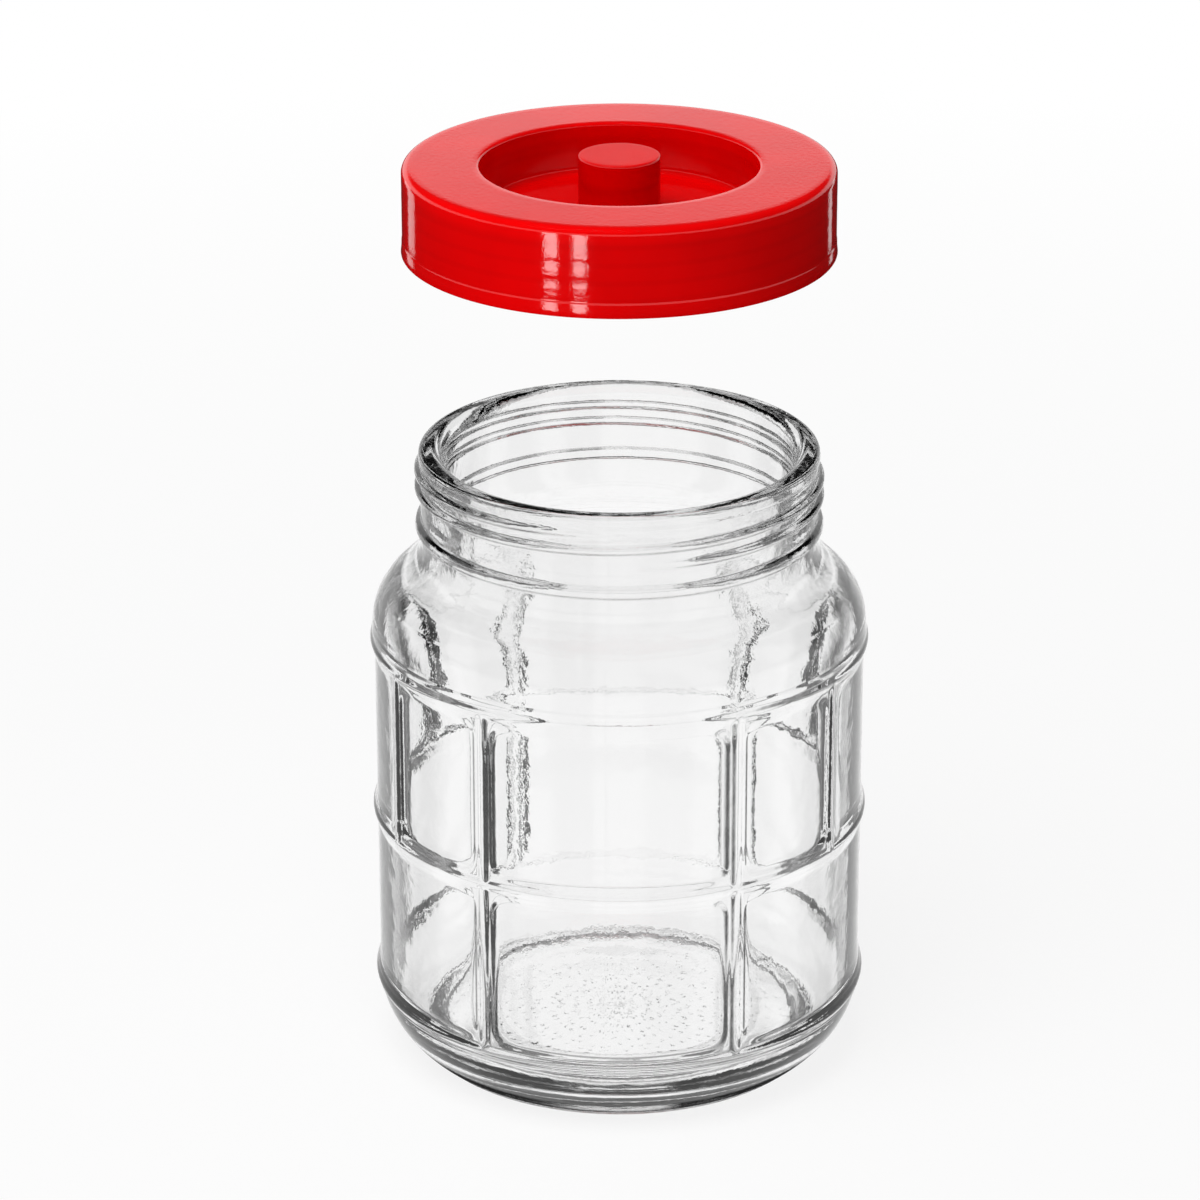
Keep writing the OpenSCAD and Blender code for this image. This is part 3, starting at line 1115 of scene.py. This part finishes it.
def studio_world():
    """White all round, with light screens at every eighth turn and dark flags between
    them, which only the light through the glass sees."""
    world = bpy.data.worlds.new("white_studio")
    world.use_nodes = True
    tree = world.node_tree
    tree.nodes.clear()
    path = add(tree, "ShaderNodeLightPath")
    way = add(tree, "ShaderNodeTexCoord").outputs["Generated"]
    spot = add(tree, "ShaderNodeSeparateXYZ", {"Vector": way})
    turn = add(
        tree,
        "ShaderNodeMath",
        {0: spot.outputs["Y"], 1: spot.outputs["X"]},
        operation="ARCTAN2",
    )
    share = add(
        tree,
        "ShaderNodeMapRange",
        {"Value": turn.outputs[0], "From Min": -math.pi, "From Max": math.pi},
    )
    flags = add(tree, "ShaderNodeValToRGB", {"Fac": share.outputs["Result"]})
    screens = [(((90 - degrees) / 360 + 0.5) % 1, grey) for degrees, grey in SCREENS_AND_FLAGS]
    fill_ramp(flags.color_ramp, screens)
    # light closes the flags off straight below and straight above
    rise = add(
        tree,
        "ShaderNodeMapRange",
        {"Value": spot.outputs["Z"], "From Min": -1.0, "From Max": 1.0},
    )
    ends = add(tree, "ShaderNodeValToRGB", {"Fac": rise.outputs["Result"]})
    heights = ((-0.85, 1), (-0.7, 0), (0.7, 0), (0.9, 0.85))
    fill_ramp(ends.color_ramp, [((z + 1) / 2, grey) for z, grey in heights])
    seen = add(
        tree,
        "ShaderNodeMath",
        {0: flags.outputs["Color"], 1: ends.outputs["Color"]},
        operation="MAXIMUM",
    )
    # a gap between the sweep and the backdrop draws the dark lines along the threads
    gap = add(tree, "ShaderNodeValToRGB", {"Fac": rise.outputs["Result"]})
    heights = ((0.1, 1), (0.13, 0.06), (0.26, 0.06), (0.3, 1))
    fill_ramp(gap.color_ramp, [((z + 1) / 2, grey) for z, grey in heights])
    split = add(
        tree,
        "ShaderNodeMath",
        {0: seen.outputs[0], 1: gap.outputs["Color"]},
        operation="MULTIPLY",
    )
    # gloss sees the backdrop fade from white at 14 degrees up to a dim ceiling at 21
    backdrop = add(
        tree,
        "ShaderNodeMapRange",
        {
            "Value": spot.outputs["Z"],
            "From Min": 0.25,
            "From Max": 0.36,
            "To Min": 0.985,
            "To Max": 0.03,
        },
        interpolation_type="SMOOTHSTEP",
    )
    mirrored = add(
        tree,
        "ShaderNodeMix",
        {"Factor": path.outputs["Is Glossy Ray"], "A": 0.985, "B": backdrop.outputs["Result"]},
        data_type="FLOAT",
    )
    # soft light is weaker from the right, where no lamp stands
    soft = add(
        tree,
        "ShaderNodeMapRange",
        {
            "Value": spot.outputs["X"],
            "From Min": -0.3,
            "From Max": 0.9,
            "To Min": 0.28,
            "To Max": 0.02,
        },
    )
    light = add(
        tree,
        "ShaderNodeMix",
        {
            "Factor": path.outputs["Is Diffuse Ray"],
            "A": mirrored.outputs["Result"],
            "B": soft.outputs["Result"],
        },
        data_type="FLOAT",
    )
    strength = add(
        tree,
        "ShaderNodeMix",
        {
            "Factor": path.outputs["Is Transmission Ray"],
            "A": light.outputs["Result"],
            "B": split.outputs[0],
        },
        data_type="FLOAT",
    )
    background = add(
        tree,
        "ShaderNodeBackground",
        {"Color": (1, 1, 1, 1), "Strength": strength.outputs["Result"]},
    )
    output = add(tree, "ShaderNodeOutputWorld")
    tree.links.new(background.outputs["Background"], output.inputs["Surface"])
    return world


def hang_lamp(light, location, target):
    """Puts a light in its place, aimed at its target, where neither the camera nor the
    glass shows it."""
    lamp = bpy.data.objects.new(light.name, light)
    lamp.location = location
    lamp.rotation_euler = (Vector(target) - lamp.location).to_track_quat("-Z", "Y").to_euler()
    lamp.visible_camera = False
    lamp.visible_transmission = False
    bpy.context.scene.collection.objects.link(lamp)
    return lamp


def hang_strips():
    """Hangs the upright softboxes, with their light kept on the lid, which mirrors them."""
    lit = bpy.data.collections.new("lit_by_strips")
    lit.objects.link(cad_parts["lid"])
    lit.objects.link(bpy.data.objects["moulded_lid"])
    for name, azimuth, width, height, radiance in STRIPS:
        light = bpy.data.lights.new(name, "AREA")
        light.shape = "RECTANGLE"
        light.size, light.size_y = width, height
        light.energy = radiance * math.pi * width * height
        a = math.radians(azimuth)
        place = (STRIP_DISTANCE * math.sin(a), -STRIP_DISTANCE * math.cos(a), STRIP_MIDDLE)
        lamp = hang_lamp(light, place, (0, 0, STRIP_MIDDLE))
        lamp.light_linking.receiver_collection = lit


def hang_key():
    """Hangs the large soft lamp, above and left of the camera."""
    key = bpy.data.lights.new("soft_key", "AREA")
    key.shape = "DISK"
    key.size = 1.6
    key.energy = 48
    hang_lamp(key, (-0.42, -0.73, 2.4), (0, 0, 0.2)).visible_glossy = False


def lay_floor(scene):
    """Lays the sweep of paper under the jar."""
    bm = bmesh.new()
    bmesh.ops.create_grid(bm, x_segments=8, y_segments=8, size=6)
    mesh = bpy.data.meshes.new("floor")
    bm.to_mesh(mesh)
    bm.free()
    mesh.materials.append(floor_material(scene.jar_colours))
    floor = bpy.data.objects.new("floor", mesh)
    scene.collection.objects.link(floor)


def aim_camera(scene):
    """Sets the camera where the photograph was taken from."""
    camera = bpy.data.cameras.new("camera")
    camera.lens = 145.4
    camera.sensor_width = 36
    camera.shift_x = -0.0161
    camera.clip_end = 50
    view = bpy.data.objects.new("camera", camera)
    view.location = (0, -1.8, 0.92)
    view.rotation_euler = (math.radians(67.9), 0, 0)
    scene.collection.objects.link(view)
    scene.camera = view


class JAR_OT_set_stage(bpy.types.Operator):
    """Sets the floor, the studio light and the camera"""

    bl_idname = "jar.set_stage"
    bl_label = "Set the Stage"

    def execute(self, context):
        scene = context.scene
        lay_floor(scene)
        scene.world = studio_world()
        hang_strips()
        hang_key()
        aim_camera(scene)
        scene.view_settings.view_transform = "Standard"
        return {"FINISHED"}


class JAR_PT_panel(bpy.types.Panel):
    """Lists the pieces and their sizes and colours"""

    bl_idname = "JAR_PT_panel"
    bl_label = "Fermentation Jar"
    bl_space_type = "VIEW_3D"
    bl_region_type = "UI"
    bl_category = "Jar"

    def draw(self, context):
        layout = self.layout
        for group in (context.scene.jar_sizes, context.scene.jar_colours):
            for name in group.__annotations__:
                layout.prop(group, name)
        for operator in OPERATORS:
            layout.operator(operator.bl_idname)


OPERATORS = (JAR_OT_make_glass, JAR_OT_make_lid, JAR_OT_finish_seal, JAR_OT_set_stage)
CLASSES = (JarSizes, JarColours, *OPERATORS, JAR_PT_panel)


def register():
    for cls in CLASSES:
        bpy.utils.register_class(cls)
    bpy.types.Scene.jar_sizes = bpy.props.PointerProperty(type=JarSizes)
    bpy.types.Scene.jar_colours = bpy.props.PointerProperty(type=JarColours)


def unregister():
    del bpy.types.Scene.jar_colours
    del bpy.types.Scene.jar_sizes
    for cls in reversed(CLASSES):
        bpy.utils.unregister_class(cls)


def main():
    register()
    bpy.ops.jar.make_glass()
    bpy.ops.jar.make_lid()
    bpy.ops.jar.finish_seal()
    bpy.ops.jar.set_stage()


if __name__ == "__main__":
    main()
